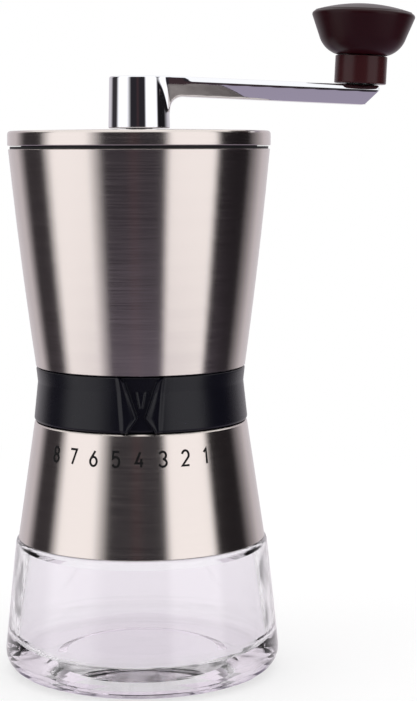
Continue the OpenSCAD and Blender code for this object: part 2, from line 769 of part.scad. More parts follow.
// Side view of the arm, with the round under it where it meets the hub
module arm_side() {
    start = hub_d / 2 - 3;
    web = 4;
    low = arm_top(hub_d / 2 + web) - arm_t;
    tip = arm_len + arm_w / 2;
    polygon(concat(
        [[start, hub_top_z], [hub_d / 2, hub_top_z], [tip, arm_top(tip)], [tip, arm_top(tip) - arm_edge]],
        [[tip - arm_bevel, arm_top(tip - arm_bevel) - arm_t]],
        arc([hub_d / 2 + web - 0.4, low - web], web, 90, 180),
        [[start, low - web]]));
}

// Section across the arm, from just over its top face to well under it
module arm_section() {
    over = 1;
    under = 14;
    top = arm_w / 2 - (arm_edge + over) * tan(edge_tilt);
    foot = arm_w / 2 - (under - arm_edge) * tan(arm_draft);
    polygon([[-top, over], [-arm_w / 2, -arm_edge], [-foot, -under], [foot, -under], [arm_w / 2, -arm_edge],
        [top, over]]);
}

// Flare that blends the hub's side into the arm, seen from above
module hub_flare() {
    c = [hub_d / 2 + flare_len, flare_w + flare_r];
    side = arc(c, flare_r, atan2(-c[1], -c[0]), -90);
    translate([0, 0, hub_top_z - arm_t + 1]) linear_extrude(arm_t - 1.6)
        polygon(concat([[0, hub_d / 2 - 0.9]], side, reversed([for (q = side) [q[0], -q[1]]]),
            [[0, 0.9 - hub_d / 2]]));
}

module crank_arm() color("gainsboro") {
    socket_r = hex_r + 1.9;
    difference() {
        union() {
            translate([0, 0, hub_z])
                cylinder(r1 = hub_d / 2, r2 = hub_d / 2 - hub_h * tan(hub_draft), h = hub_h);
            intersection() {
                translate([0, arm_w, 0]) rotate([90, 0, 0]) linear_extrude(2 * arm_w) arm_side();
                translate([hub_d / 2, 0, hub_top_z]) rotate([0, arm_slope, 0]) translate([-20, 0, 0])
                    rotate([90, 0, 90]) linear_extrude(arm_len + 40) arm_section();
            }
            hub_flare();
        }
        translate([0, 0, hub_z - 1]) cylinder(r = socket_r + touch, h = shaft_top_z - hub_z + 1.8);
        at_knob() translate([0, 0, -arm_t - 3]) cylinder(r = pin_r, h = arm_t + 6);
    }
}

module hub_socket() color([0.15, 0.15, 0.16]) {
    difference() {
        ring(0, hex_r + 1.9, hub_z + 0.3, shaft_top_z + 0.6);
        hex_prism(hex_af + 0.2, hub_z - 1, shaft_top_z + 1.6);
    }
}

// ---- Knob ----

module knob_screw() color("silver") at_knob() {
    difference() {
        union() {
            translate([0, 0, -arm_t + 0.2]) cylinder(r = pin_r - touch, h = arm_t);
            translate([0, 0, touch]) cylinder(r = shoulder_d / 2, h = head_z - touch);
            translate([0, 0, head_z]) cylinder(r = head_r, h = head_h);
        }
        translate([-head_r, -0.5, head_z + head_h - 0.8]) cube([2 * head_r, 1, 2]);
    }
}

module knob_washer() color([0.12, 0.12, 0.13]) at_knob()
    ring(shoulder_d / 2 + 0.1, washer_r, touch, knob_foot - 0.1);

module knob_collar() color([0.24, 0.13, 0.12]) at_knob() {
    lathe([[shoulder_d / 2 + run_gap, knob_foot], [collar_d / 2 - 0.3, knob_foot],
        [collar_d / 2, knob_foot + 0.3], [collar_d / 2, collar_top], [spigot_r, collar_top],
        [spigot_r, collar_top + spigot_h], [shoulder_d / 2 + run_gap, collar_top + spigot_h]]);
}

module knob_bowl() color([0.16, 0.09, 0.09]) at_knob() {
    rim_r = knob_d / 2;
    rim_round = 0.9;
    foot = collar_top + touch;
    belly = rim_r - (bowl_h - bowl_round * (1 - sin(bowl_flare))) * tan(bowl_flare)
        - bowl_round * cos(bowl_flare);
    lathe(concat(
        [[spigot_r + touch, foot]],
        arc([belly, foot + bowl_round], bowl_round, asin((collar_d / 2 - 0.05 - belly) / bowl_round) - 90,
            -bowl_flare, 14),
        arc([rim_r - rim_round, rim_h - rim_round + touch], rim_round, 12, 70, 5),
        [for (i = [1:8]) let (t = i / 8, r = (rim_r - rim_round) * (1 - t) + (cap_r + touch) * t)
            [r, rim_h + dome_rise(r)]],
        [[cap_r + touch, head_z + head_h + 0.5], [head_r + 0.3, head_z + head_h + 0.5],
            [head_r + 0.3, collar_top + spigot_h + touch],
            [spigot_r + touch, collar_top + spigot_h + touch]]));
}

// Rise of the knob's domed top over its rim, at radius r
function dome_rise(r) = knob_dome * (1 - pow(r / (knob_d / 2), 2));

module knob_cap() color([0.16, 0.09, 0.09]) at_knob() {
    lathe(concat([[0, head_z + head_h + 0.5]], [[cap_r, head_z + head_h + 0.5]],
        [for (i = [0:5]) let (r = cap_r * (1 - i / 5)) [r, rim_h + dome_rise(r)]]));
}

glass_jar();
jar_gasket();
lower_shell();
lower_core();
upper_shell();
hopper();
bearing_spider();
rim_ring();
body_screws();
bearing_bridge();
bridge_screws();
upper_bush();
lower_bush();
detent_ball();
detent_spring();
adjusting_ring();
burr_carrier();
outer_burr();
burr_clip();
drive_shaft();
inner_burr();
burr_driver();
burr_washer();
burr_nut();
burr_spring();
spring_washer();
shaft_washer();
shaft_circlip();
lid_cover();
lid_insert();
lid_seal();
crank_arm();
hub_socket();
knob_screw();
knob_washer();
knob_collar();
knob_bowl();
knob_cap();
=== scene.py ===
"""Looks of a hand crank coffee grinder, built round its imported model. Metres, +Z up, front towards -Y."""
import json
import math

import bmesh
import bpy
import numpy as np
from mathutils import Matrix, Vector


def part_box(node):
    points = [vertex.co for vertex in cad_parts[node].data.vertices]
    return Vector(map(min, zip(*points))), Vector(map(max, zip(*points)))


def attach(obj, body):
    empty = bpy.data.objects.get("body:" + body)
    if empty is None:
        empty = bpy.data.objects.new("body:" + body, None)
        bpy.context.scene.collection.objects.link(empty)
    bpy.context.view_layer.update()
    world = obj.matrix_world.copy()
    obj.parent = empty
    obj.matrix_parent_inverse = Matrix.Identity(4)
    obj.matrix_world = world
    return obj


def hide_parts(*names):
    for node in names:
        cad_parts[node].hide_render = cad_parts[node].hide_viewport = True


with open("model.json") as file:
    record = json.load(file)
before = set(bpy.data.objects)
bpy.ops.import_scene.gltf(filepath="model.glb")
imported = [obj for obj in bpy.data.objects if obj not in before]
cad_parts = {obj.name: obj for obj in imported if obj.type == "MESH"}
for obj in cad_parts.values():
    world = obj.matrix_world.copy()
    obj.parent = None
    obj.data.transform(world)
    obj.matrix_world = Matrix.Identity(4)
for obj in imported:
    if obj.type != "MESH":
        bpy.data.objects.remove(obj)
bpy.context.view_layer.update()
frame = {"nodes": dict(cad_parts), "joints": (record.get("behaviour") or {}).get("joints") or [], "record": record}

MM = 0.001
PATCH = 9 * MM  # Flow marks in a moulding
GLASS_WAVE = 22 * MM  # Waves that a mould leaves in glass


# ---- Materials ----

def linear(hex_colour):
    """Turns an sRGB hex colour such as '#C8C4C0' into linear red, green, blue and alpha."""
    channels = [int(hex_colour[i:i + 2], 16) / 255 for i in (1, 3, 5)]
    return [c / 12.92 if c <= 0.04045 else ((c + 0.055) / 1.055) ** 2.4 for c in channels] + [1.0]


def add(tree, kind, links=None, values=None, **settings):
    """Adds a node of a kind, sets its settings and socket values, and links other nodes' outputs to its sockets."""
    node = tree.nodes.new(kind)
    for name, value in settings.items():
        setattr(node, name, value)
    for socket, value in (values or {}).items():
        node.inputs[socket].default_value = value
    for socket, output in (links or {}).items():
        tree.links.new(output, node.inputs[socket])
    return node


def new_material(name):
    """An empty node material with its output node."""
    material = bpy.data.materials.new(name)
    material.use_nodes = True
    material.node_tree.nodes.clear()
    output = add(material.node_tree, "ShaderNodeOutputMaterial")
    return material, material.node_tree, output


def steel_brushed_round(name, line_mm, colour, roughness):
    """Stainless sheet brushed round the mill on a lathe: fine rings that stretch each highlight up and down,
    so that the room shows as upright bands with soft ends."""
    material, tree, output = new_material(name)
    place = add(tree, "ShaderNodeTexCoord").outputs["Object"]
    axes = add(tree, "ShaderNodeSeparateXYZ", {0: place})
    turn = add(tree, "ShaderNodeMath", {0: axes.outputs["Y"], 1: axes.outputs["X"]}, operation="ARCTAN2")
    # One noise cell is a brush line high and about 25 mm long
    along = add(tree, "ShaderNodeMath", {0: turn.outputs[0]}, {1: 1.5}, operation="MULTIPLY")
    up = add(tree, "ShaderNodeMath", {0: axes.outputs["Z"]}, {1: 1 / (line_mm * MM)}, operation="MULTIPLY")
    lines_at = add(tree, "ShaderNodeCombineXYZ", {0: along.outputs[0], 1: up.outputs[0]})
    lines = add(tree, "ShaderNodeTexNoise", {"Vector": lines_at.outputs[0]},
                {"Scale": 1.0, "Detail": 3.0, "Roughness": 0.7})
    tone = add(tree, "ShaderNodeMapRange", {"Value": lines.outputs["Fac"]},
               {"From Min": 0.3, "From Max": 0.7, "To Min": roughness - 0.04, "To Max": roughness + 0.05})
    shade = add(tree, "ShaderNodeMix", {"Factor": lines.outputs["Fac"]}, data_type="RGBA")
    shade.inputs[6].default_value = [c * 0.94 for c in linear(colour)[:3]] + [1]
    shade.inputs[7].default_value = [min(1, c * 1.06) for c in linear(colour)[:3]] + [1]
    relief = add(tree, "ShaderNodeBump", {"Height": lines.outputs["Fac"]},
                 {"Strength": 0.1, "Distance": 0.014 * MM})
    round_axis = add(tree, "ShaderNodeTangent", direction_type="RADIAL", axis="Z")
    shader = add(tree, "ShaderNodeBsdfPrincipled",
                 {"Base Color": shade.outputs[2], "Roughness": tone.outputs[0], "Normal": relief.outputs[0],
                  "Tangent": round_axis.outputs[0]},
                 {"Metallic": 1.0, "Anisotropic": 0.8, "Anisotropic Rotation": 0.25})
    tree.links.new(shader.outputs[0], output.inputs[0])
    return material


def metal(name, colour, roughness, grain_mm=0.4, relief=0.03):
    """A bare or plated metal whose gloss is faintly uneven, from the pressing or polishing."""
    material, tree, output = new_material(name)
    place = add(tree, "ShaderNodeTexCoord").outputs["Object"]
    grain = add(tree, "ShaderNodeTexNoise", {"Vector": place}, {"Scale": 1 / (grain_mm * MM), "Detail": 2.0})
    gloss = add(tree, "ShaderNodeMapRange", {"Value": grain.outputs["Fac"]},
                {"To Min": roughness * 0.8, "To Max": roughness * 1.2})
    bump = add(tree, "ShaderNodeBump", {"Height": grain.outputs["Fac"]}, {"Strength": relief, "Distance": 0.02 * MM})
    shader = add(tree, "ShaderNodeBsdfPrincipled", {"Roughness": gloss.outputs[0], "Normal": bump.outputs[0]},
                 {"Base Color": linear(colour), "Metallic": 1.0})
    tree.links.new(shader.outputs[0], output.inputs[0])
    return material


def moulded(name, colour, roughness, grain_mm=0.3, relief=0.1, ior=1.5, spread=0.08, sheen=0.5):
    """A moulded plastic, rubber or ceramic. Its skin has a fine grain, and its gloss and shade drift over PATCH."""
    material, tree, output = new_material(name)
    place = add(tree, "ShaderNodeTexCoord").outputs["Object"]
    grain = add(tree, "ShaderNodeTexNoise", {"Vector": place}, {"Scale": 1 / (grain_mm * MM), "Detail": 3.0})
    patch = add(tree, "ShaderNodeTexNoise", {"Vector": place}, {"Scale": 1 / PATCH, "Detail": 2.0})
    gloss = add(tree, "ShaderNodeMapRange", {"Value": patch.outputs["Fac"]},
                {"To Min": roughness - spread / 2, "To Max": roughness + spread / 2})
    shade = add(tree, "ShaderNodeMix", {"Factor": patch.outputs["Fac"]}, data_type="RGBA")
    shade.inputs[6].default_value = [c * 0.88 for c in linear(colour)[:3]] + [1]
    shade.inputs[7].default_value = [min(1, c * 1.12) for c in linear(colour)[:3]] + [1]
    bump = add(tree, "ShaderNodeBump", {"Height": grain.outputs["Fac"]}, {"Strength": relief, "Distance": 0.03 * MM})
    shader = add(tree, "ShaderNodeBsdfPrincipled",
                 {"Base Color": shade.outputs[2], "Roughness": gloss.outputs[0], "Normal": bump.outputs[0]},
                 {"IOR": ior, "Specular IOR Level": sheen})
    tree.links.new(shader.outputs[0], output.inputs[0])
    return material


def pressed_glass(name):
    """Clear soda-lime glass, pressed and fire polished: clear all through, with faint waves left by the mould.
    The IOR starts from 1.51 and is set far lower, which keeps black bands out of the thick foot. The coat gives
    back the gloss of the real surface."""
    material, tree, output = new_material(name)
    place = add(tree, "ShaderNodeTexCoord").outputs["Object"]
    waves = add(tree, "ShaderNodeTexNoise", {"Vector": place}, {"Scale": 1 / GLASS_WAVE, "Detail": 1.0})
    bump = add(tree, "ShaderNodeBump", {"Height": waves.outputs["Fac"]}, {"Strength": 0.15, "Distance": 0.3 * MM})
    shader = add(tree, "ShaderNodeBsdfPrincipled", {"Normal": bump.outputs[0]},
                 {"Base Color": linear("#FCFAFD"), "Roughness": 0.0, "IOR": 1.13, "Transmission Weight": 1.0,
                  "Coat Weight": 1.0, "Coat Roughness": 0.02, "Coat IOR": 1.5})
    tree.links.new(shader.outputs[0], output.inputs[0])
    return material


MATERIALS = {
    # See-through, with soft streaks where the room mirrors in it
    "clear_glass": pressed_glass("Soda-lime glass, pressed"),
    # Pale and matt, with a soft edge to each highlight
    "silicone": moulded("Silicone rubber, moulded", "#D2D2CE", 0.5, ior=1.41),
    # Upright light and dark bands, crossed by fine lines. Real lines are about 0.05 mm apart, too fine to show
    "brushed_steel": steel_brushed_round("Stainless steel, brushed round", 0.3, "#CFC7C2", 0.2),
    # Near black, with hardly a highlight
    "black_plastic": moulded("Black nylon, moulded", "#0D0D0F", 0.5, sheen=0.3),
    # Black with a satin glow under the bright panels
    "ring_plastic": moulded("Black ABS, satin moulded", "#0B0B14", 0.27, 0.25, 0.08, sheen=0.26),
    # Grey with a broad, dull shine
    "plain_steel": metal("Zinc plated steel, pressed", "#B9BBBD", 0.3),
    # Milky white with a waxy shine
    "acetal": moulded("Acetal, turned", "#E6E4DC", 0.38, 0.6, 0.04),
    # Chalky white, without gloss
    "burr_ceramic": moulded("White ceramic, sintered", "#E4E1D8", 0.62, 0.2, 0.2, ior=1.6),
    # A clean mirror with hard edges between light and dark
    "chrome": metal("Chromium plate on polished casting", "#DFE0E4", 0.035, 6.0, 0.01),
    # Dark red-brown with narrow upright streaks of light
    "collar_plastic": moulded("Red-brown ABS, moulded", "#36171A", 0.24, 0.4, 0.04, sheen=0.2),
    # Maroon-black with a soft, low shine
    "knob_plastic": moulded("Dark brown ABS, moulded", "#24070D", 0.3, 0.4, 0.04, sheen=0.14),
}

slot_of = {p["node"]: p["material_slot"] for p in frame["record"]["subparts"]}
for node_name, node in frame["nodes"].items():
    node.data.materials.clear()
    node.data.materials.append(MATERIALS[slot_of[node_name]])


# ---- Ways of making a piece ----

def rider(name, mesh, material, body, smooth=True):
    """Makes an object of a mesh and lets it ride on a body."""
    mesh.materials.append(material)
    mesh.shade_smooth() if smooth else mesh.shade_flat()
    piece = bpy.data.objects.new(name, mesh)
    bpy.context.collection.objects.link(piece)
    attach(piece, body)
    return piece


def turned(name, profile, material, body, place=Matrix(), steps=128):
    """A piece turned about the Z axis of its place, from (radius, level) points in millimetres."""
    shape = bmesh.new()
    rings = []
    for radius, level in profile:
        if radius < 1e-6:
            rings.append([shape.verts.new((0, 0, level * MM))] * steps)
            continue
        angles = [2 * math.pi * i / steps for i in range(steps)]
        rings.append([shape.verts.new((radius * MM * math.cos(a), radius * MM * math.sin(a), level * MM))
                      for a in angles])
    for low, high in zip(rings, rings[1:] + rings[:1]):
        for i in range(steps):
            corners = [low[i], low[(i + 1) % steps], high[(i + 1) % steps], high[i]]
            corners = list(dict.fromkeys(corners))
            if len(corners) > 2:
                shape.faces.new(corners)
    shape.transform(place)
    bmesh.ops.recalc_face_normals(shape, faces=shape.faces)
    mesh = bpy.data.meshes.new(name)
    shape.to_mesh(mesh)
    shape.free()
    return rider(name, mesh, material, body)


def skin(name, distance, low, high, step, material, body):
    """The surface where a distance function is zero, found on a grid and then drawn exactly on to it. Millimetres."""
    axes = [np.arange(a, b + step, step) for a, b in zip(low, high)]
    inside = distance(np.stack(np.meshgrid(*axes, indexing="ij"), axis=-1)) < 0
    wide, deep, tall = (len(axis) - 1 for axis in axes)
    corners = sum(inside[i:i + wide, j:j + deep, k:k + tall].astype(int)
                  for i in (0, 1) for j in (0, 1) for k in (0, 1))
    cells = np.argwhere((corners > 0) & (corners < 8))
    number = np.full(corners.shape, -1)
    number[tuple(cells.T)] = np.arange(len(cells))
    points = np.array(low) + (cells + 0.5) * step

    def slope(at):
        rise = [distance(at + e) - distance(at - e) for e in np.eye(3) * 0.02]
        return np.stack(rise, axis=-1) / 0.04

    for _ in range(8):
        lean = slope(points)
        pull = distance(points)[:, None] * lean / np.maximum((lean ** 2).sum(axis=1, keepdims=True), 0.2)
        points = points - np.clip(pull, -step, step)
    faces = []
    for axis in range(3):
        u, v = (axis + 1) % 3, (axis + 2) % 3
        here, there = np.moveaxis(inside, axis, 0)[:-1], np.moveaxis(inside, axis, 0)[1:]
        change = np.argwhere(here != there)
        edge = np.zeros((len(change), 3), int)
        rest = [k for k in range(3) if k != axis]
        edge[:, axis], edge[:, rest[0]], edge[:, rest[1]] = change.T
        around = []
        for du, dv in ((-1, -1), (0, -1), (0, 0), (-1, 0)):
            cell = edge.copy()
            cell[:, u] += du
            cell[:, v] += dv
            around.append(number[tuple(cell.T)])
        quads = np.stack(around, axis=-1)
        out = here[tuple(change.T)]
        quads[~out] = quads[~out][:, ::-1]
        faces += quads[(quads >= 0).all(axis=1)].tolist()
    mesh = bpy.data.meshes.new(name)
    mesh.from_pydata((points * MM).tolist(), [], faces)
    mesh.update()
    piece = rider(name, mesh, material, body)
    normals = slope(points)
    mesh.normals_split_custom_set_from_vertices((normals / np.linalg.norm(normals, axis=1, keepdims=True)).tolist())
    return piece


def swell_min(a, b, size):
    """The smaller of two distances, blended with a fillet of about this size."""
    share = np.maximum(size - np.abs(a - b), 0) / size
    return np.minimum(a, b) - share ** 2 * size / 4


def swell_max(a, b, size):
    """The larger of two distances, blended with a round of about this size."""
    return -swell_min(-a, -b, size)


def ease(value):
    """Smooth step from 0 to 1."""
    value = np.clip(value, 0, 1)
    return value * value * (3 - 2 * value)


# ---- Crank casting ----

def crank_distance(at):
    """Distance from the crank's surface: a hub, a web, and an arm with tapered sides and a slanted end."""
    x, y, z = at[..., 0], at[..., 1], at[..., 2]
    out = np.hypot(x, y)
    hub = (out - (HUB_R - (z - HUB_Z) * math.tan(HUB_DRAFT))) * math.cos(HUB_DRAFT)
    deep = HUB_TOP_Z - np.maximum(x - HUB_R, 0) * math.tan(ARM_SLOPE) - z
    below_edge = deep - ARM_EDGE
    beside = np.abs(y) - ARM_W / 2
    tilt = EDGE_TILT * ease((x - CHAMFER_FROM) / CHAMFER_RUN)
    reach = np.clip(WEB - (x - HUB_R), 0, WEB)
    web = WEB - np.sqrt(WEB ** 2 - reach ** 2)
    chamfer = beside * np.cos(tilt) - below_edge * np.sin(tilt)
    side = beside * math.cos(ARM_DRAFT) + below_edge * math.sin(ARM_DRAFT)
    arm = swell_max(chamfer, side, 0.3)
    past_tip = x - TIP_X
    arm = swell_max(arm, swell_max(past_tip, (past_tip + below_edge) / math.sqrt(2), 0.3), 0.3)
    arm = swell_max(arm, below_edge - ARM_BEVEL - web, 0.5)
    arm = np.maximum(arm, HUB_R - ARM_START - x)
    both = swell_min(hub, arm, 1.6)
    both = swell_max(both, -deep, 0.6)
    both = swell_max(both, HUB_Z - z, 0.4)
    bore = np.maximum(out - SOCKET_R, z - SOCKET_TOP_Z)
    return np.maximum(both, -bore)


def millimetres(value):
    return value / MM


HUB_Z, HUB_TOP_Z = (millimetres(corner[2]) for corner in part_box("crank_arm"))
HUB_R = -millimetres(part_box("crank_arm")[0][0])
TIP_X = millimetres(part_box("crank_arm")[1][0])
HUB_DRAFT = math.radians(1.3)
ARM_W = 10.8
ARM_EDGE = 1.6
EDGE_TILT = math.radians(28)
CHAMFER_FROM = 13.5  # The chamfer grows out of the upright side from here
CHAMFER_RUN = 3.0
ARM_START = 4.0  # The arm begins this far inside the hub
ARM_BEVEL = 4.3
ARM_DRAFT = math.radians(15)
WEB = 4.0  # Radius of the web under the arm, next to the hub
knob_joint = next(j for j in frame["joints"] if j["name"] == "knob_turn")
ARM_SLOPE = math.asin(knob_joint["axis"][0])
SOCKET_R = millimetres(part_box("hub_socket")[1][1])
SOCKET_TOP_Z = millimetres(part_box("hub_socket")[1][2])

crank = skin("crank_casting", crank_distance, (-HUB_R - 1, -HUB_R - 1, HUB_Z - 1),
             (TIP_X + 1, HUB_R + 1, HUB_TOP_Z + 1), 0.31, MATERIALS["chrome"], "crank")
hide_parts("crank_arm")


# ---- Knob ----

KNOB_R = 15.5
KNOB_COLLAR_R = 7.85
KNOB_COLLAR_H = 8.3
KNOB_BOWL_H = 13.0
KNOB_DOME = 2.6
KNOB_FOOT = 0.4
BOWL_ROUND = 8.0
BOWL_FLARE = math.radians(18)
RIM_ROUND = 1.0
CAP_R = 5.6
GROOVE = 0.15
collar_top = KNOB_FOOT + KNOB_COLLAR_H
rim_level = collar_top + KNOB_BOWL_H
knob_place = Matrix.Translation(knob_joint["pos_m"]) @ Matrix.Rotation(ARM_SLOPE, 4, "Y")


def bend(centre, radius, start, end, steps=12):
    """Points along an arc in a profile, with angles in degrees."""
    angles = [math.radians(start + (end - start) * i / steps) for i in range(steps + 1)]
    return [(centre[0] + radius * math.cos(a), centre[1] + radius * math.sin(a)) for a in angles]


def bell_side():
    """Side of the knob's bell: a round belly that leaves the collar, then a straight flare to the rim."""
    belly = (KNOB_R - (KNOB_BOWL_H - BOWL_ROUND * (1 - math.sin(BOWL_FLARE))) * math.tan(BOWL_FLARE)
             - BOWL_ROUND * math.cos(BOWL_FLARE))
    start = math.degrees(math.asin((KNOB_COLLAR_R - 0.4 - belly) / BOWL_ROUND)) - 90
    return bend((belly, collar_top + BOWL_ROUND), BOWL_ROUND, start, -math.degrees(BOWL_FLARE), 40)


def dome_side(start, end, steps=16):
    """Domed top of the knob, from one radius to another."""
    radii = [start + (end - start) * i / steps for i in range(steps + 1)]
    return [(r, rim_level + KNOB_DOME * (1 - (r / KNOB_R) ** 2)) for r in radii]


bowl = turned("knob_bell", bell_side() + bend((KNOB_R - RIM_ROUND, rim_level - RIM_ROUND), RIM_ROUND, -18, 72)
              + dome_side(KNOB_R - RIM_ROUND, CAP_R + GROOVE)
              + [(CAP_R + GROOVE, rim_level - 1), (5.2, rim_level - 1), (5.2, 15), (3.3, 15), (3.3, collar_top)],
              MATERIALS["knob_plastic"], "knob", knob_place)
cap = turned("knob_top_cap", [(0, rim_level - 0.6), (CAP_R, rim_level - 0.6)] + dome_side(CAP_R, 0),
             MATERIALS["knob_plastic"], "knob", knob_place)
collar = turned("knob_sleeve", [(3.3, KNOB_FOOT)] + bend((KNOB_COLLAR_R - 0.35, KNOB_FOOT + 0.35), 0.35, -90, 0, 6)
                + bend((KNOB_COLLAR_R - 0.2, collar_top - 0.25), 0.2, 0, 90, 6) + [(3.3, collar_top - 0.05)],
                MATERIALS["collar_plastic"], "knob", knob_place)
for piece, replaced, slot in ((bowl, "knob_bowl", "knob_plastic"), (cap, "knob_cap", "knob_plastic"),
                              (collar, "knob_collar", "collar_plastic")):
    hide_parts(replaced)


# ---- Click ring ----

ring_low, ring_high = (millimetres(corner[2]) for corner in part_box("adjusting_ring"))
RING_IN = 30.32
RING_TOP_R = 32.12
CREASE_R = 31.62
CREASE_DEPTH = 4.6
RING_FOOT_R = 32.8
RING_FOOT_ROUND = 1.1
RING_LIP = 0.8
POINTER_TURN = math.radians(2.1)
POINTER_DEPTH = 12.0
POINTER_REACH = 9.2
LUG_R = 25.6 * MM
LUG_Z = 86.7 * MM
LUG_SIZE = (10.4 * MM, 7 * MM, 4 * MM)
LUG_ROUND = 0.5 * MM


def band_outline(depth):
    """Radius of the plain band at a depth under its top edge: in to a crease, then out to a rounded foot."""
    height = ring_high - ring_low
    foot = height - RING_FOOT_ROUND
    plain = np.interp(depth, [0, CREASE_DEPTH, foot], [RING_TOP_R, CREASE_R, RING_FOOT_R])
    under = np.clip((depth - foot) / RING_FOOT_ROUND, 0, 1)
    over = np.clip(1 - depth / RING_LIP, 0, 1)
    return plain - RING_FOOT_ROUND * (1 - np.sqrt(1 - under ** 2)) - RING_LIP * (1 - np.sqrt(1 - over ** 2))


def pointer_relief(aside, depth):
    """Height of the pointer's nose over the band: a raised block with an hourglass hollow edged by thin beads."""
    aside = np.abs(aside)
    block = np.interp(depth, [0, 17], [6.6, 5.1])
    hollow = np.interp(depth, [0, 0.8, 1.5, POINTER_DEPTH, 15.2, 17], [7.2, 5.7, 4.9, 1.3, 3.5, 4.4])
    across = np.clip((aside - hollow) / np.maximum(block - hollow, 0.3), 0, 1)
    cheek = 0.55 - 0.22 * np.sin(math.pi * across) ** 2
    bead = 0.28 * np.exp(-((aside - hollow - 0.15) / 0.15) ** 2)
    raised = (cheek + bead) * ease((block + 1.1 - aside) / 1.8)
    small = np.interp(depth, [4.5, 9.0], [1.25, 0.45])
    mark = 0.2 * np.exp(-((aside - small) / 0.2) ** 2) * ease((depth - 4.0) / 0.8) * ease((9.6 - depth) / 0.8)
    floor = -0.6 + mark
    wall = ease((aside - hollow + 0.4) / 0.4)
    return floor * (1 - wall) + raised * wall


def click_ring_mesh():
    """The ring as a grid of columns round the mill, fine at the pointer, with three lugs inside."""
    height = ring_high - ring_low
    depths = np.linspace(0, height, 150)
    near = np.arange(-9.0, 9.01, 0.11) / RING_TOP_R
    far = np.arange(near[-1] + 0.02, near[0] + 2 * math.pi - 0.01, math.radians(2))
    turns = np.concatenate([near, far])
    aside, depth = np.meshgrid(turns * RING_TOP_R, depths, indexing="ij")
    radius = band_outline(depth) + np.where(np.abs(aside) < POINTER_REACH, pointer_relief(aside, depth), 0)
    shape = bmesh.new()
    columns = []
    for i, turn in enumerate(turns):
        outline = [(RING_IN, 0), *zip(radius[i], depths), (RING_IN, height)]
        angle = turn + POINTER_TURN - math.pi / 2
        columns.append([shape.verts.new((r * math.cos(angle) * MM, r * math.sin(angle) * MM, (ring_high - d) * MM))
                        for r, d in outline])
    for here, there in zip(columns, columns[1:] + columns[:1]):
        for j in range(len(here)):
            k = (j + 1) % len(here)
            shape.faces.new((here[j], here[k], there[k], there[j]))
    for lug in range(3):
        block = bmesh.ops.create_cube(shape, size=1, matrix=Matrix.Rotation(lug * 2 * math.pi / 3, 4, "Z")
                                      @ Matrix.Translation((LUG_R, 0, LUG_Z))
                                      @ Matrix.Diagonal((*LUG_SIZE, 1)))
        edges = {edge for vert in block["verts"] for edge in vert.link_edges}
        bmesh.ops.bevel(shape, geom=list(edges), offset=LUG_ROUND, segments=3, affect="EDGES", profile=0.5)
    bmesh.ops.recalc_face_normals(shape, faces=shape.faces)
    mesh = bpy.data.meshes.new("click_ring")
    shape.to_mesh(mesh)
    shape.free()
    return mesh


click_ring = rider("click_ring_band", click_ring_mesh(), MATERIALS["ring_plastic"], "click_ring")
click_ring.data.set_sharp_from_angle(angle=math.radians(50))
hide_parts("adjusting_ring")


# ---- Grind numbers on the lower shell ----

shell_low, shell_high = (corner[2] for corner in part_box("lower_shell"))
shell_foot_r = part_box("lower_shell")[1][0]
shell_top_r = 32.7 * MM
NUMBER_H = 5.0 * MM
NUMBER_W = 3.0 * MM
NUMBER_STROKE = 0.66 * MM
NUMBER_Z = 70.6 * MM
INK_OVER = 0.07 * MM
NUMBER_STEP = math.radians(11.75)
NUMBER_FOUR_TURN = math.radians(1.2)


def shell_radius(z):
    """Outside radius of the lower shell at a level."""
    return shell_foot_r + (shell_top_r - shell_foot_r) * (z - shell_low) / (shell_high - shell_low)


def bow(cx, cz, rx, rz, start, end, steps=18):
    """Points along part of an ellipse, in the numbers' unit box, with angles in degrees."""
    angles = [math.radians(start + (end - start) * i / steps) for i in range(steps + 1)]
    return [(cx + rx * math.cos(a), cz + rz * math.sin(a)) for a in angles]


# Centre lines of the strokes, in a box one unit wide and one high
NUMBER_STROKES = {
    1: [[(-0.3, 0.27), (0.08, 0.5), (0.08, -0.5)]],
    2: [bow(0, 0.2, 0.45, 0.3, 165, -28) + [(-0.46, -0.5), (0.48, -0.5)]],
    3: [bow(-0.03, 0.25, 0.42, 0.25, 158, -90), bow(-0.03, -0.25, 0.48, 0.25, 90, -160)],
    4: [[(0.1, 0.5), (-0.48, -0.24), (0.5, -0.24)], [(0.22, 0.05), (0.22, -0.5)]],
    5: [[(0.4, 0.5), (-0.34, 0.5), (-0.4, 0.05)] + bow(-0.02, -0.17, 0.46, 0.33, 128, -150)],
    6: [[(0.2, 0.5), (-0.36, -0.02)] + bow(0, -0.2, 0.45, 0.3, 145, 505, 30)],
    7: [[(-0.46, 0.5), (0.46, 0.5), (-0.14, -0.5)]],
    8: [bow(0, 0.25, 0.38, 0.25, 90, 450, 26), bow(0, -0.24, 0.46, 0.26, 90, 450, 26)],
}


def ribbon_sides(path, width):
    """Left and right edges of a flat stroke along a path, mitred at its corners."""
    left, right = [], []
    for i, point in enumerate(path):
        before = (point - path[i - 1]).normalized() if i else None
        after = (path[i + 1] - point).normalized() if i + 1 < len(path) else None
        along = ((before or after) + (after or before)).normalized()
        across = Vector((-along.y, along.x))
        spread = width / 2 / max(0.5, along.dot(after or before))
        left.append(point + across * spread)
        right.append(point - across * spread)
    return left, right


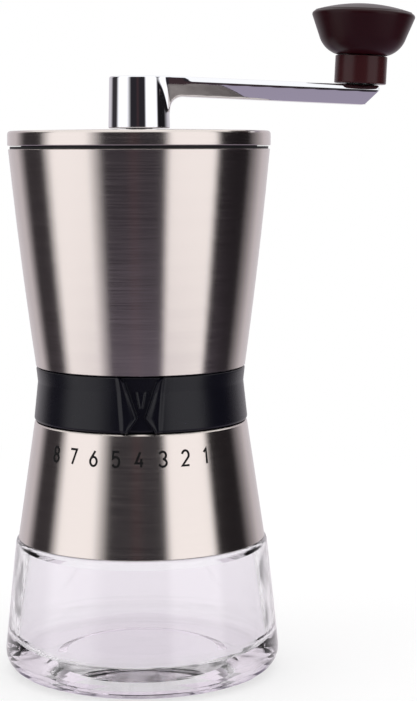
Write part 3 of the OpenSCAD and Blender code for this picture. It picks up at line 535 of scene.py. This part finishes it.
def printed_number(number, turn):
    """One grind number, screen printed on the cone at an angle from the front."""
    shape = bmesh.new()
    for path in NUMBER_STROKES[number]:
        points = [Vector((x * (NUMBER_W - NUMBER_STROKE), z * (NUMBER_H - NUMBER_STROKE))) for x, z in path]
        left, right = ribbon_sides(points, NUMBER_STROKE)
        rows = []
        for a, b in zip(left, right):
            corners = []
            for p in (a, b):
                z = NUMBER_Z + p.y
                r = shell_radius(z) + INK_OVER
                angle = turn + p.x / r
                corners.append(shape.verts.new((r * math.sin(angle), -r * math.cos(angle), z)))
            rows.append(corners)
        for low, high in zip(rows, rows[1:]):
            shape.faces.new((low[0], low[1], high[1], high[0]))
    bmesh.ops.recalc_face_normals(shape, faces=shape.faces)
    mesh = bpy.data.meshes.new(f"number_{number}")
    shape.to_mesh(mesh)
    shape.free()
    return rider(f"number_{number}", mesh, MATERIALS["ink"], "housing", smooth=False)


MATERIALS["ink"] = moulded("Black ink, screen printed", "#0A0A0B", 0.55, 0.2, 0.05, sheen=0.2)
for number in range(1, 9):
    printed_number(number, NUMBER_FOUR_TURN + (4 - number) * NUMBER_STEP)


# ---- Studio ----

def floor_sheet():
    """A pale floor that runs out into the white of the room."""
    material, tree, output = new_material("Pale studio floor")
    place = add(tree, "ShaderNodeTexCoord").outputs["Object"]
    flat = add(tree, "ShaderNodeVectorMath", {0: place}, operation="LENGTH")
    fade = add(tree, "ShaderNodeMapRange", {"Value": flat.outputs["Value"]},
               {"From Min": 0.10, "From Max": 0.42}, interpolation_type="SMOOTHSTEP")
    paper = add(tree, "ShaderNodeBsdfDiffuse", values={"Color": linear("#FCFCFC")})
    lit = add(tree, "ShaderNodeEmission", values={"Color": [1, 1, 1, 1], "Strength": 1.0})
    near = add(tree, "ShaderNodeMixShader", {1: paper.outputs[0], 2: lit.outputs[0]}, {0: 0.62})
    both = add(tree, "ShaderNodeMixShader", {0: fade.outputs[0], 1: near.outputs[0], 2: lit.outputs[0]})
    tree.links.new(both.outputs[0], output.inputs[0])
    shape = bmesh.new()
    bmesh.ops.create_circle(shape, cap_ends=True, segments=96, radius=6.0)
    mesh = bpy.data.meshes.new("floor")
    shape.to_mesh(mesh)
    shape.free()
    mesh.materials.append(material)
    floor = bpy.data.objects.new("floor", mesh)
    floor.location.z = -0.02 * MM
    bpy.context.collection.objects.link(floor)
    floor.visible_glossy = False


# Panels round the studio: angle from the front, to the right, and the light's red, green and blue there
WHITE = (1.45, 1.43, 1.45)
LEFT_DARK = (0.045, 0.04, 0.045)
MIDDLE_DARK = (0.028, 0.025, 0.030)
MIDDLE_RED = (0.06, 0.036, 0.04)
RIGHT_DARK = (0.014, 0.012, 0.014)
ROOM = (0.74, 0.70, 0.74)
PANELS = [
    (-180, ROOM), (-132, ROOM), (-116, LEFT_DARK), (-93, LEFT_DARK), (-80, WHITE), (-45, WHITE),
    (-29, MIDDLE_DARK), (-10, MIDDLE_DARK), (-3, MIDDLE_RED), (5, MIDDLE_DARK), (23, MIDDLE_DARK),
    (30, WHITE), (71, WHITE), (78, RIGHT_DARK), (112, RIGHT_DARK), (142, ROOM), (180, ROOM),
]
TABLE = (0.40, 0.35, 0.45, 1)
THROUGH_GLASS = (0.82, 0.765, 0.82, 1)


def studio():
    """White and dark panels all round, a soft light above, a lilac-grey table below and plain white behind."""
    world = bpy.data.worlds.new("Studio")
    bpy.context.scene.world = world
    world.use_nodes = True
    tree = world.node_tree
    tree.nodes.clear()
    axes = add(tree, "ShaderNodeSeparateXYZ", {0: add(tree, "ShaderNodeTexCoord").outputs["Generated"]})
    front = add(tree, "ShaderNodeMath", {0: axes.outputs["Y"]}, {1: -1.0}, operation="MULTIPLY")
    turn = add(tree, "ShaderNodeMath", {0: axes.outputs["X"], 1: front.outputs[0]}, operation="ARCTAN2")
    share = add(tree, "ShaderNodeMapRange", {"Value": turn.outputs[0]}, {"From Min": -math.pi, "From Max": math.pi})
    bands = add(tree, "ShaderNodeValToRGB", {0: share.outputs[0]})
    ramp = bands.color_ramp
    ramp.elements[0].position = 0
    ramp.elements[1].position = 1
    for angle, light in PANELS[1:-1]:
        ramp.elements.new((angle + 180) / 360)
    for element, (angle, light) in zip(ramp.elements, PANELS):
        element.color = [*light, 1]
    above = add(tree, "ShaderNodeMapRange", {"Value": axes.outputs["Z"]},
                {"From Min": 0.45, "From Max": 0.62}, interpolation_type="SMOOTHSTEP")
    below = add(tree, "ShaderNodeMapRange", {"Value": axes.outputs["Z"]},
                {"From Min": -0.37, "From Max": -0.48}, interpolation_type="SMOOTHSTEP")
    high = add(tree, "ShaderNodeMix", {"Factor": above.outputs[0], 6: bands.outputs[0]}, {7: (1.3, 1.3, 1.3, 1)},
               data_type="RGBA")
    room = add(tree, "ShaderNodeMix", {"Factor": below.outputs[0], 6: high.outputs[2]}, {7: TABLE},
               data_type="RGBA")
    path = add(tree, "ShaderNodeLightPath")
    inside = add(tree, "ShaderNodeMath", {0: path.outputs["Transmission Depth"]}, {1: 0.5}, operation="GREATER_THAN")
    glass = add(tree, "ShaderNodeMix", {"Factor": inside.outputs[0], 6: room.outputs[2]},
                {7: THROUGH_GLASS}, data_type="RGBA")
    seen = add(tree, "ShaderNodeMix", {"Factor": path.outputs["Is Camera Ray"], 6: glass.outputs[2]},
               {7: (1, 1, 1, 1)}, data_type="RGBA")
    light = add(tree, "ShaderNodeBackground", {"Color": seen.outputs[2]})
    add(tree, "ShaderNodeOutputWorld", {0: light.outputs[0]})


def camera():
    """The camera stands a little to the right of the mill and looks slightly down."""
    data = bpy.data.cameras.new("camera")
    data.lens = 93.08
    data.sensor_width = 36
    data.clip_start = 0.01
    data.clip_end = 20
    seen_from = bpy.data.objects.new("camera", data)
    bpy.context.collection.objects.link(seen_from)
    pitch = Matrix.Rotation(math.radians(90 - 6.31), 4, "X")
    roll = Matrix.Rotation(math.radians(-0.14), 4, "Z")
    seen_from.matrix_world = Matrix.Translation((20.9 * MM, -555 * MM, 160.2 * MM)) @ pitch @ roll
    bpy.context.scene.camera = seen_from


floor_sheet()
studio()
camera()
bpy.context.scene.view_settings.view_transform = "Standard"
